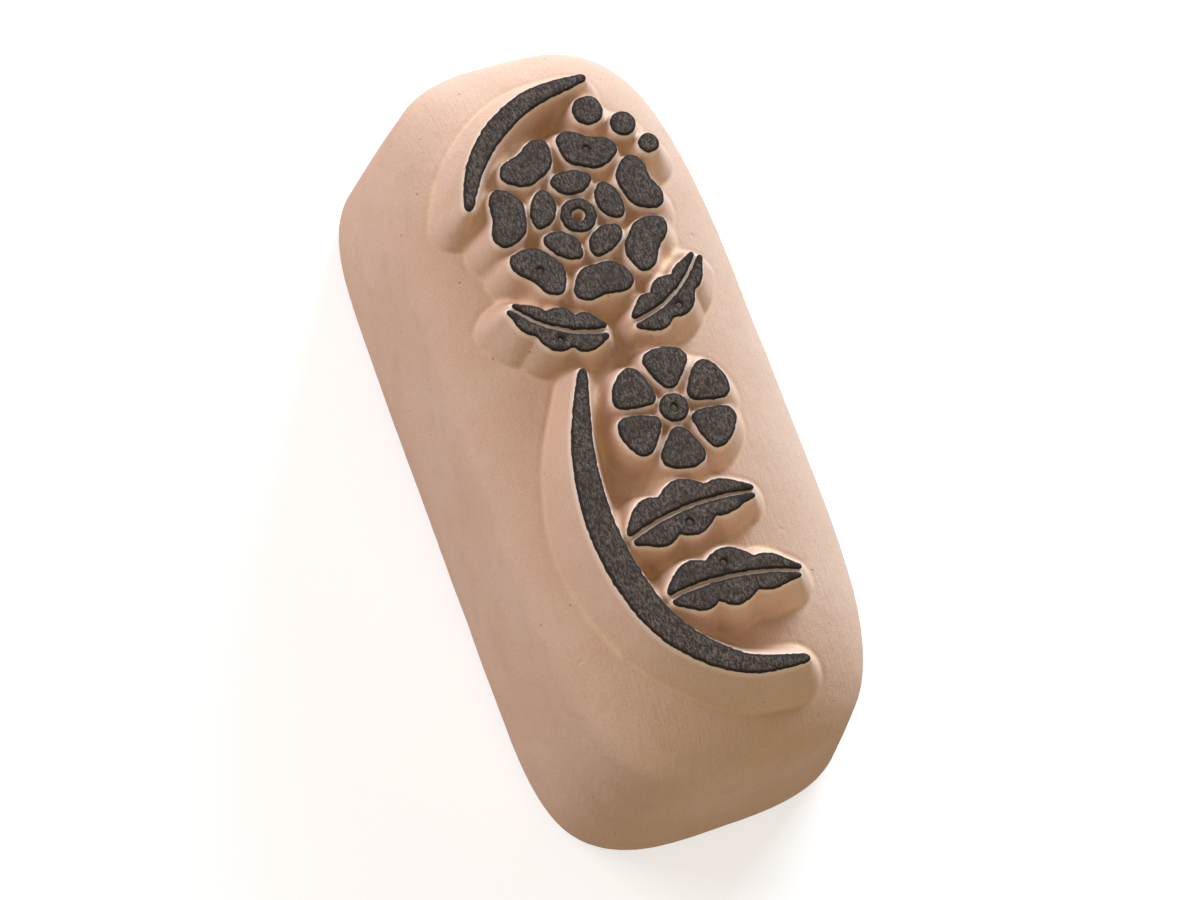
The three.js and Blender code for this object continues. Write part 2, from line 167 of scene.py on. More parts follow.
def top_loops(node):
    """The loops round a face node's flat top, the outer one first."""
    mesh = node.data
    points = np.array([v.co for v in mesh.vertices]) / MM
    top = points[:, 2].max() - 0.01
    keys = [tuple(np.round(p[:2], 3)) for p in points]
    edges = set()
    for polygon in mesh.polygons:
        corners = list(polygon.vertices)
        if all(points[c, 2] > top for c in corners):
            for here, after in zip(corners, corners[1:] + corners[:1]):
                edges.add((keys[here], keys[after]))
    onwards = {a: b for a, b in edges if (b, a) not in edges}
    loops = []
    while onwards:
        start = min(onwards)
        loop = [start]
        after = onwards.pop(start)
        while after != start:
            loop.append(after)
            after = onwards.pop(after)
        loops.append(np.array(loop))
    return sorted(loops, key=lambda one: -abs(area(one)))


def curve_between(p0, p1, p2, p3, shares):
    """Points of the centripetal Catmull-Rom curve from p1 to p2."""
    knots = [0.0]
    for a, b in ((p0, p1), (p1, p2), (p2, p3)):
        knots.append(knots[-1] + max(1e-6, math.sqrt(np.linalg.norm(b - a))))
    t = (knots[1] + (knots[2] - knots[1]) * shares)[:, None]

    def lerp(a, b, ta, tb):
        return (tb - t) / (tb - ta) * a + (t - ta) / (tb - ta) * b

    a1 = lerp(p0, p1, knots[0], knots[1])
    a2 = lerp(p1, p2, knots[1], knots[2])
    a3 = lerp(p2, p3, knots[2], knots[3])
    b1 = lerp(a1, a2, knots[0], knots[2])
    b2 = lerp(a2, a3, knots[1], knots[3])
    return lerp(b1, b2, knots[1], knots[2])


def even_loop(loop, spacing):
    """A closed loop with its points a constant distance apart."""
    closed = np.vstack([loop, loop[:1]])
    steps = np.linalg.norm(np.diff(closed, axis=0), axis=1)
    along = np.concatenate([[0], np.cumsum(steps)])
    count = max(12, int(round(along[-1] / spacing)))
    places = np.linspace(0, along[-1], count, endpoint=False)
    return np.stack([np.interp(places, along, closed[:, axis]) for axis in (0, 1)], axis=1)


def outward(loop):
    """Unit vectors away from the material, which is to the left of the loop."""
    along = np.roll(loop, -1, axis=0) - np.roll(loop, 1, axis=0)
    along /= np.linalg.norm(along, axis=1)[:, None]
    return np.stack([along[:, 1], -along[:, 0]], axis=1)


def smooth_loop(loop):
    """The loop as a smooth line through its points, with slightly worn corners."""
    count = len(loop)
    before = loop - np.roll(loop, 1, axis=0)
    after = np.roll(loop, -1, axis=0) - loop
    turn = np.arctan2(
        before[:, 0] * after[:, 1] - before[:, 1] * after[:, 0],
        np.sum(before * after, axis=1),
    )
    corner = np.abs(turn) > math.radians(CORNER_DEGREES)
    pieces = []
    shares = np.linspace(0, 1, 12, endpoint=False)
    for i in range(count):
        p1 = loop[i]
        p2 = loop[(i + 1) % count]
        p0 = 2 * p1 - p2 if corner[i] else loop[i - 1]
        p3 = 2 * p2 - p1 if corner[(i + 1) % count] else loop[(i + 2) % count]
        pieces.append(curve_between(p0, p1, p2, p3, shares))
    line = even_loop(np.vstack(pieces), OUTLINE_SPACING)
    for _ in range(CORNER_PASSES):
        line = 0.5 * line + 0.25 * np.roll(line, 1, axis=0) + 0.25 * np.roll(line, -1, axis=0)
    return line


def uneven_loop(line):
    """The edge of the ink along an outline."""
    waver = noise_at(line, WAVER_LENGTH, detail=4, shift=3.7)
    return line + outward(line) * (OUTLINE_WAVER * waver)[:, None]


def signed_distance(points, loops):
    """Distance from points to a printing face: negative on it, positive beside it and in its holes."""
    start = np.vstack(loops)
    end = np.vstack([np.roll(loop, -1, axis=0) for loop in loops])
    along = end - start
    length = np.sum(along * along, axis=1)
    result = np.empty(len(points))
    for low in range(0, len(points), DISTANCES_AT_ONCE):
        p = points[low : low + DISTANCES_AT_ONCE]
        dx = p[:, 0:1] - start[:, 0]
        dy = p[:, 1:2] - start[:, 1]
        share = np.clip((dx * along[:, 0] + dy * along[:, 1]) / length, 0, 1)
        gap = np.hypot(dx - share * along[:, 0], dy - share * along[:, 1]).min(axis=1)
        above = start[:, 1] > p[:, 1:2]
        crosses = above != (end[:, 1] > p[:, 1:2])
        slope = along[:, 0] / np.where(along[:, 1] == 0, 1e-12, along[:, 1])
        right = dx < dy * slope
        inside = np.count_nonzero(crosses & right, axis=1) % 2 == 1
        result[low : low + DISTANCES_AT_ONCE] = np.where(inside, -gap, gap)
    return result


def relief_at(points):
    """Level of the relief hills at points of the plan, and the distance to the nearest printing face."""
    best = np.full(len(points), float(NO_HILL))
    second = best.copy()
    nearest = np.full(len(points), float(HILL_REACH))
    for loops in outlines.values():
        low = loops[0].min(axis=0) - HILL_REACH
        high = loops[0].max(axis=0) + HILL_REACH
        near = np.all((points > low) & (points < high), axis=1)
        if not near.any():
            continue
        gap = signed_distance(points[near], loops)
        tuck = STONE_TUCK * (1 - smoothstep(gap, 0, TUCK_REACH))
        level = PRINT_PLANE - tuck - np.maximum(gap, 0) / WALL_RUN
        old_best = best[near]
        second[near] = np.maximum(second[near], np.minimum(old_best, level))
        best[near] = np.maximum(old_best, level)
        nearest[near] = np.minimum(nearest[near], gap)
    return smooth_max(best, second, VALLEY_FILLET), nearest


# Block


def half_size(full, exponent, height):
    """Half the block's length or width at a height, with its taper and its crown."""
    climb = np.clip((height - SHOULDER) / CROWN_DROP, 0, 1)
    crown = full / 2 - SIDE_TAPER * STONE_HEIGHT
    inset = crown * (1 - (1 - climb**exponent) ** (1 / exponent))
    return full / 2 - SIDE_TAPER * height - inset


def side_exponent(height):
    """The exponent of the long sides, which are straightest at the foot."""
    share = min(1, height / SHOULDER)
    return FOOT_SIDE_EXPONENT + (SHOULDER_SIDE_EXPONENT - FOOT_SIDE_EXPONENT) * share


def in_plan(share_x, share_y, exponent):
    """Whether points, as shares of the half sizes, lie in the plan whose long sides have this exponent."""
    return np.abs(share_x) ** END_EXPONENT + np.abs(share_y) ** exponent < 1


def half_sizes(height):
    across = half_size(STONE_WIDTH, CROWN_EXPONENT_ACROSS, height)
    along = half_size(STONE_LENGTH, CROWN_EXPONENT_ALONG, height)
    return across, along


def block_top(x, y, low):
    """Level of the block's crown above points of its plan, which lie within its outline at level low."""
    low = np.full(len(x), low)
    high = np.full(len(x), float(STONE_HEIGHT))
    for _ in range(CROWN_HALVINGS):
        middle = (low + high) / 2
        across, along = half_sizes(middle)
        across = np.maximum(across, 1e-9)
        along = np.maximum(along, 1e-9)
        inside = in_plan(x / across, y / along, SHOULDER_SIDE_EXPONENT)
        low = np.where(inside, middle, low)
        high = np.where(inside, high, middle)
    return low


def block_normals(points):
    """Unit normals of the block's crown and shoulder."""
    x, y, z = points.T
    step = 0.01
    z = np.minimum(z, STONE_HEIGHT - 2 * step)
    across, along = half_sizes(z)
    across_low, along_low = half_sizes(z - step)
    slope_x = (across - across_low) / step
    slope_y = (along - along_low) / step
    gradient_x = END_EXPONENT * (np.abs(x) / across) ** (END_EXPONENT - 1) / across
    gradient_y = SHOULDER_SIDE_EXPONENT * (np.abs(y) / along) ** (SHOULDER_SIDE_EXPONENT - 1) / along
    gradient_z = -gradient_x * np.abs(x) / across * slope_x - gradient_y * np.abs(y) / along * slope_y
    normal = np.stack([np.sign(x) * gradient_x, np.sign(y) * gradient_y, gradient_z], axis=1)
    return normal / np.maximum(np.linalg.norm(normal, axis=1), 1e-12)[:, None]


def plan_grid():
    """A square grid from -1 to 1 each way, for the top, and how far out each point is, from 0 to 1."""
    u = np.linspace(-1, 1, CELLS_ACROSS + 1)
    v = np.linspace(-1, 1, CELLS_ALONG + 1)
    u, v = np.meshgrid(u, v, indexing="ij")
    square = np.stack([u.ravel(), v.ravel()], axis=1)
    return square, np.abs(square).max(axis=1)


def rounded(square, exponent):
    """Points of a square drawn in to the block's plan, as shares of its half sizes."""
    out = np.abs(square).max(axis=1)
    x, y = (square / np.maximum(out, 1e-9)[:, None]).T
    low = np.zeros(len(square))
    high = np.ones(len(square))
    for _ in range(HALVINGS):
        middle = (low + high) / 2
        inside = in_plan(x * middle, y * middle, exponent)
        low = np.where(inside, middle, low)
        high = np.where(inside, high, middle)
    return square * low[:, None]


def grid_rim():
    """Indices of the grid's outermost points, anticlockwise."""
    column = CELLS_ALONG + 1
    near = [i * column for i in range(CELLS_ACROSS)]
    right = [CELLS_ACROSS * column + j for j in range(CELLS_ALONG)]
    far = [i * column + CELLS_ALONG for i in range(CELLS_ACROSS, 0, -1)]
    left = [j for j in range(CELLS_ALONG, 0, -1)]
    return np.array(near + right + far + left)


def raster_relief():
    """The relief's level on a coarse square grid, as a function of x and y."""
    xs = np.arange(-STONE_WIDTH / 2, STONE_WIDTH / 2 + RASTER_CELL, RASTER_CELL)
    ys = np.arange(-STONE_LENGTH / 2, STONE_LENGTH / 2 + RASTER_CELL, RASTER_CELL)
    gx, gy = np.meshgrid(xs, ys, indexing="ij")
    level, _ = relief_at(np.stack([gx.ravel(), gy.ravel()], axis=1))
    level = level.reshape(gx.shape)

    def at(x, y):
        fx = np.clip((x - xs[0]) / RASTER_CELL, 0, len(xs) - 1.001)
        fy = np.clip((y - ys[0]) / RASTER_CELL, 0, len(ys) - 1.001)
        i, j = fx.astype(int), fy.astype(int)
        fx, fy = fx - i, fy - j
        near = level[i, j] * (1 - fx) + level[i + 1, j] * fx
        far = level[i, j + 1] * (1 - fx) + level[i + 1, j + 1] * fx
        return near * (1 - fy) + far * fy

    return at


def rise_from_block(start, direction, level_at, room):
    """Distance along each direction from the block's surface to that of block and relief together."""
    steepness = WALL_RUN / math.hypot(1, WALL_RUN)
    low = np.full(len(start), -2 * CREASE_DEPTH)
    high = np.full(len(start), float(HIGHEST_RISE))
    for _ in range(HALVINGS):
        rise = (low + high) / 2
        x, y, z = (start + rise[:, None] * direction).T
        relief = (z - level_at(x, y)) * steepness
        sideways = np.hypot(direction[:, 0], direction[:, 1])
        trim = rise * (sideways + SIDE_TAPER * direction[:, 2]) - room
        hill = smooth_max(relief, trim, TRIM_FILLET)
        crease = 1 - smoothstep(np.abs(hill - rise), 0, CREASE_WIDTH)
        solid = smooth_min(rise, hill, HILL_FILLET) + CREASE_DEPTH * crease
        inside = solid < 0
        low = np.where(inside, rise, low)
        high = np.where(inside, high, rise)
    return low


def evened(values, passes):
    """Values on the top's grid, each drawn towards the mean of its four neighbours."""
    shape = (CELLS_ACROSS + 1, CELLS_ALONG + 1)
    grid = values.reshape(shape).copy()
    for _ in range(passes):
        grid[1:-1, 1:-1] = (grid[:-2, 1:-1] + grid[2:, 1:-1] + grid[1:-1, :-2] + grid[1:-1, 2:]) / 4
    return grid.ravel()


def crown_grid(shares):
    """Points of the block's crown over the top's grid."""
    plan = shares * np.array(half_sizes(JUNCTION))
    return np.column_stack([plan, block_top(plan[:, 0], plan[:, 1], JUNCTION)])


def shoulder_rings(around):
    """Points of the block from the grid's rim down to the shoulder."""
    rings = []
    for k in range(1, SHOULDER_RINGS + 1):
        level = JUNCTION - (JUNCTION - SHOULDER) * k / SHOULDER_RINGS
        plan = around * np.array(half_sizes(level))
        rings.append(np.column_stack([plan, np.full(len(around), level)]))
    return np.vstack(rings)


def raised(start, turn, level_at):
    """Points moved out of the block to the relief: straight up at a turn of 0, along its normal at 1."""
    direction = np.array([0, 0, 1.0]) * (1 - turn)[:, None] + block_normals(start) * turn[:, None]
    direction /= np.linalg.norm(direction, axis=1)[:, None]
    level = np.maximum(start[:, 2], SHOULDER)
    room = STONE_WIDTH / 2 - SIDE_TAPER * level - half_sizes(level)[0]
    rise = rise_from_block(start, direction, level_at, room)
    return start + rise[:, None] * direction


def stone_points():
    """Points of the stone's mesh: the top's grid, then rings from the shoulder to the base.

    Also gives each point's distance to the nearest printing face, and how hollow the relief is there.
    """
    square, out = plan_grid()
    shares = rounded(square, SHOULDER_SIDE_EXPONENT)
    rim = grid_rim()
    crown = crown_grid(shares)
    exact, nearest = relief_at(crown[:, :2])
    level_at = raster_relief()
    upright = out < TURN_START
    turn = 0.5 * smoothstep(out, TURN_START, 1)
    top = np.empty_like(crown)
    top[upright] = raised(crown[upright], turn[upright], lambda x, y: exact[upright])
    top[~upright] = raised(crown[~upright], turn[~upright], level_at)

    ring_number = np.repeat(np.arange(1, SHOULDER_RINGS + 1), len(rim))
    ring_turn = 0.5 + 0.5 * smoothstep(ring_number, 0, TURN_RINGS)
    shoulder = raised(shoulder_rings(shares[rim]), ring_turn, level_at)

    points = np.vstack([top, shoulder, side_rings(square[rim])])
    distance = np.full(len(points), float(HILL_REACH))
    distance[: len(top)] = nearest
    _, distance[len(top) : len(top) + len(shoulder)] = relief_at(shoulder[:, :2])
    relief = top[:, 2] - crown[:, 2]
    # The hollow value later sets where the stone's colour gets its painted bounce light.
    hollow = np.zeros(len(points))
    hollow[: len(top)] = evened(relief, HOLLOW_PASSES) - relief
    return points, distance, hollow


def side_rings(square):
    """Rings from under the shoulder down the side, round the foot and in across the base."""
    rings = []
    for k in range(1, SIDE_RINGS + 1):
        level = SHOULDER + (FOOT_ROUND - SHOULDER) * k / SIDE_RINGS
        rings.append((SIDE_TAPER * level, level))
    for k in range(1, FOOT_RINGS + 1):
        turn = math.pi / 2 * (1 - k / FOOT_RINGS)
        level = FOOT_ROUND * (1 - math.cos(turn))
        rings.append((FOOT_ROUND * (1 - math.sin(turn)) + SIDE_TAPER * level, level))
    for k in range(1, BASE_RINGS + 1):
        rings.append((FOOT_ROUND + (STONE_WIDTH / 2 - FOOT_ROUND) * k / (BASE_RINGS + 1), 0))
    points = []
    for inset, level in rings:
        half = np.array([STONE_WIDTH, STONE_LENGTH]) / 2 - inset
        plan = rounded(square, side_exponent(level)) * half
        points.append(np.column_stack([plan, np.full(len(square), level)]))
    return np.vstack(points)


def stone_faces():
    """The top's squares, the bands between the rings, and a fan to the middle of the base."""
    column = CELLS_ALONG + 1
    faces = []
    for i in range(CELLS_ACROSS):
        for j in range(CELLS_ALONG):
            a = i * column + j
            faces.append((a, a + column, a + column + 1, a + 1))
    upper = list(grid_rim())
    first = (CELLS_ACROSS + 1) * column
    size = len(upper)
    ring_count = SHOULDER_RINGS + SIDE_RINGS + FOOT_RINGS + BASE_RINGS
    for k in range(ring_count):
        lower = list(range(first + k * size, first + (k + 1) * size))
        for i in range(size):
            after = (i + 1) % size
            faces.append((upper[i], lower[i], lower[after], upper[after]))
        upper = lower
    centre = first + ring_count * size
    for i in range(size):
        faces.append((upper[(i + 1) % size], upper[i], centre))
    return faces


def new_mesh(name, points, faces, material):
    """An object with a smooth-shaded mesh. Its points are in millimetres."""
    mesh = bpy.data.meshes.new(name)
    mesh.from_pydata((np.asarray(points) * MM).tolist(), [], faces)
    mesh.validate()
    mesh.materials.append(material)
    mesh.polygons.foreach_set("use_smooth", [True] * len(mesh.polygons))
    mesh.update()
    piece = bpy.data.objects.new(name, mesh)
    bpy.context.scene.collection.objects.link(piece)
    return piece


def add_attribute(piece, name, values):
    attribute = piece.data.attributes.new(name, "FLOAT", "POINT")
    attribute.data.foreach_set("value", np.asarray(values, np.float32))


def vertex_normals(mesh):
    normals = np.empty(len(mesh.vertices) * 3, np.float32)
    mesh.vertex_normals.foreach_get("vector", normals)
    return normals.reshape(-1, 3).astype(float)


def build_stone(material):
    points, distance, hollow = stone_points()
    points = np.vstack([points, [[0, 0, 0]]])
    distance = np.append(distance, HILL_REACH)
    hollow = np.append(hollow, 0)
    piece = new_mesh("stone_block", points, stone_faces(), material)
    wear = wear_depth(points, distance)
    points = points - vertex_normals(piece.data) * wear[:, None]
    piece.data.vertices.foreach_set("co", (points * MM).ravel())
    piece.data.update()
    add_attribute(piece, "ink_distance", distance)
    add_attribute(piece, "hollow", hollow)
    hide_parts("stone_body")
    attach(piece, "root")


def wear_depth(points, distance):
    """How far each point lies below the ideal form: slow waves, small lumps and a few open pores."""
    waves = WAVE_DEPTH * (1 + noise_at(points, WAVE_LENGTH, shift=1.3))
    lumps = LUMP_DEPTH * (1 + noise_at(points, LUMP_LENGTH, detail=3, shift=5.1))
    depth = waves + lumps
    random = np.random.default_rng(PORE_SEED)
    top_count = (CELLS_ACROSS + 1) * (CELLS_ALONG + 1)
    for _ in range(PORES):
        centre = points[random.integers(top_count)]
        radius = random.uniform(SMALLEST_PORE, LARGEST_PORE)
        gap = np.linalg.norm(points - centre, axis=1) / radius
        depth = depth + PORE_DEPTH * radius * (1 - smoothstep(gap, 0.2, 1))
    clear_of_ink = smoothstep(distance, 0.25, 0.9)
    clear_of_base = smoothstep(points[:, 2], 0.2, 1.5)
    return depth * (clear_of_ink * clear_of_base)


# Printing faces


def fill_loops(loops):
    """Triangles over the inside of the loops, with a grid of inner points. Returns points and faces."""
    rim = np.vstack(loops)
    edges = []
    first = 0
    for loop in loops:
        edges += [(first + i, first + (i + 1) % len(loop)) for i in range(len(loop))]
        first += len(loop)
    low = rim.min(axis=0)
    high = rim.max(axis=0)
    gx, gy = np.meshgrid(
        np.arange(low[0], high[0], FACE_CELL), np.arange(low[1], high[1], FACE_CELL), indexing="ij"
    )
    gx[:, 1::2] += FACE_CELL / 2
    grid = np.stack([gx.ravel(), gy.ravel()], axis=1)
    grid = grid[signed_distance(grid, loops) < -0.6 * FACE_CELL]
    points = np.vstack([rim, grid])
    found, _, triangles, origins, _, _ = delaunay_2d_cdt([Vector(p) for p in points], edges, [], 0, 1e-7)
    found = np.array([tuple(p) for p in found])
    centres = found[np.array(triangles)].mean(axis=1)
    kept = signed_distance(centres, loops) < 0
    place = [o[0] if o else -1 for o in origins]
    faces = [tuple(place[c] for c in t) for t, keep in zip(triangles, kept) if keep]
    return points, [f for f in faces if min(f) >= 0]


def face_parts(loops):
    """One printing face: a flat top, a rounded rim, a skirt down the wall and a hidden underside."""
    loops = [uneven_loop(loop) for loop in loops]
    shrunk = [loop - outward(loop) * RIM_ROUND for loop in loops]
    plan, top_faces = fill_loops(shrunk)
    rim_count = sum(len(loop) for loop in loops)
    edge = np.vstack(loops)
    out = np.vstack([outward(loop) for loop in loops])
    depth = SKIRT_DEPTH + SKIRT_UNEVEN * noise_at(edge, SKIRT_UNEVEN_LENGTH, detail=3, shift=9.4)

    def ring(offset, drop):
        """The outline moved outwards by offset and down from the printing plane by drop."""
        offset = np.broadcast_to(offset, (rim_count,))
        drop = np.broadcast_to(drop, (rim_count,))
        return np.column_stack([edge + out * offset[:, None], PRINT_PLANE - drop])

    rings = [
        ring(-0.3 * RIM_ROUND, 0.25 * RIM_ROUND),
        ring(SKIRT_PROUD * 0.5, RIM_ROUND),
        ring(SKIRT_PROUD + WALL_RUN * 0.6 * depth, 0.6 * depth),
        ring(SKIRT_PROUD * 0.8 + WALL_RUN * depth, depth),
        ring(WALL_RUN * depth - SKIRT_TUCK, depth + 0.02),
    ]
    top = np.column_stack([plan, np.full(len(plan), float(PRINT_PLANE))])
    under = top.copy()
    under[:rim_count] = ring(-RIM_ROUND, FACE_THICKNESS + SKIRT_DEPTH)
    under[rim_count:, 2] -= FACE_THICKNESS + SKIRT_DEPTH
    points = np.vstack([top] + rings + [under])
    faces = list(top_faces)
    starts = [0] + [len(top) + k * rim_count for k in range(len(rings) + 1)]
    for upper, lower in zip(starts, starts[1:]):
        first = 0
        for loop in loops:
            size = len(loop)
            for i in range(size):
                here, after = first + i, first + (i + 1) % size
                faces.append((upper + here, lower + here, lower + after, upper + after))
            first += size
    faces += [(starts[-1] + a, starts[-1] + c, starts[-1] + b) for a, b, c in top_faces]
    # The rim value marks where the ink's colour gets its painted shade: the skirt and the edge of the top.
    rim = np.zeros(len(points))
    rim[len(top) :] = 1
    inner = signed_distance(plan, loops)
    rim[: len(top)] = 1 - smoothstep(-inner, 0.04, 0.2)
    return points, faces, rim


def build_motif(name, nodes, material):
    """One piece of ink over the printing faces of a motif."""
    points, faces, rim = [], [], []
    count = 0
    for node in nodes:
        more_points, more_faces, more_rim = face_parts(outlines[node])
        points.append(more_points)
        faces += [tuple(count + c for c in f) for f in more_faces]
        rim.append(more_rim)
        count += len(more_points)
    piece = new_mesh(name, np.vstack(points), faces, material)
    add_attribute(piece, "rim", np.concatenate(rim))
    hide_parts(*nodes)
    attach(piece, "root")


# Materials


class Nodes:
    """Short ways to add and join a material's nodes."""

    def __init__(self, name):
        self.material = bpy.data.materials.new(name)
        self.material.use_nodes = True
        self.tree = self.material.node_tree
        self.tree.nodes.clear()
        self.output = self.add("ShaderNodeOutputMaterial")

    def add(self, kind, **settings):
        node = self.tree.nodes.new(kind)
        for key, value in settings.items():
            setattr(node, key, value)
        return node

    def join(self, source, target):
        self.tree.links.new(source, target)

    def put(self, socket, value):
        if isinstance(value, bpy.types.NodeSocket):
            self.join(value, socket)
        else:
            socket.default_value = value

    def place(self, stretch=(1, 1, 1), turn=(0, 0, 0)):
        """Object coordinates in millimetres, stretched and turned."""
        coordinates = self.add("ShaderNodeTexCoord")
        mapping = self.add("ShaderNodeMapping")
        mapping.inputs["Scale"].default_value = [s / MM for s in stretch]
        mapping.inputs["Rotation"].default_value = [math.radians(a) for a in turn]
        self.join(coordinates.outputs["Object"], mapping.inputs["Vector"])
        return mapping.outputs["Vector"]

    def noise(self, place, size, detail=3, roughness=0.55, distortion=0.0):
        """Noise from 0 to 1, with features about size millimetres wide."""
        node = self.add("ShaderNodeTexNoise")
        self.join(place, node.inputs["Vector"])
        node.inputs["Scale"].default_value = 1 / size
        node.inputs["Detail"].default_value = detail
        node.inputs["Roughness"].default_value = roughness
        node.inputs["Distortion"].default_value = distortion
        return node.outputs["Fac"]

    def cells(self, place, size):
        """Distance to the nearest of points that are scattered about size apart."""
        node = self.add("ShaderNodeTexVoronoi", feature="F1")
        self.join(place, node.inputs["Vector"])
        node.inputs["Scale"].default_value = 1 / size
        return node.outputs["Distance"]

    def span(self, value, low, high, to_low=0.0, to_high=1.0):
        """Smoothly to_low up to a value of low and to_high from a value of high."""
        node = self.add("ShaderNodeMapRange", interpolation_type="SMOOTHSTEP")
        self.put(node.inputs["Value"], value)
        node.inputs["From Min"].default_value = low
        node.inputs["From Max"].default_value = high
        node.inputs["To Min"].default_value = to_low
        node.inputs["To Max"].default_value = to_high
        return node.outputs["Result"]

    def maths(self, operation, a, b):
        node = self.add("ShaderNodeMath", operation=operation)
        self.put(node.inputs[0], a)
        self.put(node.inputs[1], b)
        return node.outputs["Value"]

    def blend(self, share, a, b):
        """Colour a at a share of 0, and b at 1."""
        node = self.add("ShaderNodeMix", data_type="RGBA")
        self.put(node.inputs["Factor"], share)
        self.put(node.inputs["A"], a)
        self.put(node.inputs["B"], b)
        return node.outputs["Result"]

    def attribute(self, name):
        node = self.add("ShaderNodeAttribute", attribute_name=name)
        return node.outputs["Fac"]

    def bump(self, height, depth, onto=None):
        """A bump whose height of 1 is depth millimetres."""
        node = self.add("ShaderNodeBump")
        node.inputs["Strength"].default_value = 1
        node.inputs["Distance"].default_value = depth * MM
        self.join(height, node.inputs["Height"])
        if onto is not None:
            self.join(onto, node.inputs["Normal"])
        return node.outputs["Normal"]

    def surface(self, colour, roughness, normal, specular):
        """The material, with a constant specular level on the shader's own socket."""
        shader = self.add("ShaderNodeBsdfPrincipled")
        self.put(shader.inputs["Base Color"], colour)
        self.put(shader.inputs["Roughness"], roughness)
        self.join(normal, shader.inputs["Normal"])
        shader.inputs["Specular IOR Level"].default_value = specular
        self.join(shader.outputs["BSDF"], self.output.inputs["Surface"])
        return self.material


def rgb(red, green, blue):
    """A colour from screen values of 0 to 255."""

    def linear(value):
        value /= 255
        return value / 12.92 if value <= 0.04045 else ((value + 0.055) / 1.055) ** 2.4

    return (linear(red), linear(green), linear(blue), 1)


def stone_material():
    """Matte pink-beige stone: patches, grain, painted golden bounce light in the valleys, a painted
    highlight on pale crests beside the ink, pin pores with painted shade, and brush strokes.
    """
    n = Nodes("porous_stone")
    place = n.place()
    patches = n.span(n.noise(place, 16, detail=4), 0.35, 0.65)
    colour = n.blend(patches, rgb(226, 195, 172), rgb(221, 187, 162))
    blotches = n.span(n.noise(place, 4.5, detail=5, roughness=0.65), 0.5, 0.75, 0, 0.35)
    colour = n.blend(blotches, colour, rgb(206, 168, 140))
    grain = n.noise(place, 0.2, detail=3, roughness=0.7)
    colour = n.blend(n.span(grain, 0.35, 0.65, 0.3, 0), colour, rgb(190, 150, 122))
    distance = n.attribute("ink_distance")
    # Painted bounce light: where the relief is hollow and clear of the ink, the colour turns a lighter
    # gold in place of light bouncing round the valleys.
    hollow = n.span(n.attribute("hollow"), 0.15, 1.2, 0, 0.85)
    painted_valley_light = n.maths("MULTIPLY", hollow, n.span(distance, 0.35, 0.8))
    colour = n.blend(painted_valley_light, colour, rgb(248, 217, 170))
    # Painted highlight: the stone just beside the ink, on the hills' upper walls, is painted paler.
    colour = n.blend(n.span(distance, 0.1, 0.6, 0.85, 0), colour, rgb(246, 226, 206))
    pores = n.cells(place, 3.2)
    pore = n.span(pores, 0.02, 0.055, 1, 0)
    # Painted shade: the pin pores are darkened in the colour as well as sunk by the bump.
    colour = n.blend(n.maths("MULTIPLY", pore, 0.45), colour, rgb(120, 88, 68))
    rough = n.span(grain, 0.3, 0.7, 0.86, 0.97)
    strokes = n.noise(n.place((1, 0.07, 0.1)), 0.3, detail=2, roughness=0.6)
    height = n.bump(n.noise(place, 0.9, detail=4, roughness=0.6), 0.05)
    height = n.bump(strokes, 0.05, onto=height)
    height = n.bump(grain, 0.04, onto=height)
    height = n.bump(n.maths("SUBTRACT", 1.0, pore), 0.08, onto=height)
    return n.surface(colour, rough, height, 0.3)


def ink_material():
    """Dark dry ink: pale fibrous streaks, dark specks, patches and painted shade darkening its rim and
    skirt.
    """
    n = Nodes("printing_ink")
    place = n.place()
    fibres = n.noise(n.place((1, 0.45, 1), (0, 0, 30)), 0.24, detail=4, roughness=0.75, distortion=0.5)
    specks = n.noise(place, 0.22, detail=2, roughness=0.8)
    colour = n.blend(n.span(fibres, 0.4, 0.64), rgb(47, 38, 30), rgb(122, 109, 98))
    colour = n.blend(n.span(specks, 0.36, 0.54, 0.7, 0), colour, rgb(34, 26, 20))
    patches = n.span(n.noise(place, 4), 0.4, 0.65, 0, 0.3)
    colour = n.blend(patches, colour, rgb(56, 47, 41))
    # Painted shade: the ink's rounded rim and its skirt down the wall are darkened in the colour.
    rim = n.attribute("rim")
    colour = n.blend(n.span(rim, 0.55, 1, 0, 0.8), colour, rgb(28, 22, 18))
    normal = n.bump(fibres, 0.04)
    return n.surface(colour, n.span(fibres, 0.4, 0.7, 0.78, 0.92), normal, 0.35)


# Stage

LAMP_DISTANCE = 900
LAMP_SIZE = 500
FLOOR_HALF = 1500
FLOOR_SEEN = 0.62  # to the camera: this reflects what falls on it, and FLOOR_GLOW lifts it to white
FLOOR_GLOW = 0.62
FLOOR_OTHER = 0.45  # to the light that bounces off it
WORLD_COLOUR = (1, 0.85, 0.66, 1)
WORLD_STRENGTH = 0.306

# Photograph
PHOTO_WIDTH = 1200
PHOTO_HEIGHT = 900
CENTRE_X = 607.812  # where the photograph shows the middle of the block, in its pixels
CENTRE_Y = 433.653
SENSOR_WIDTH = 36
CAMERA_DISTANCE = 340
PIXELS_PER_MM = 8.797  # at the camera's distance


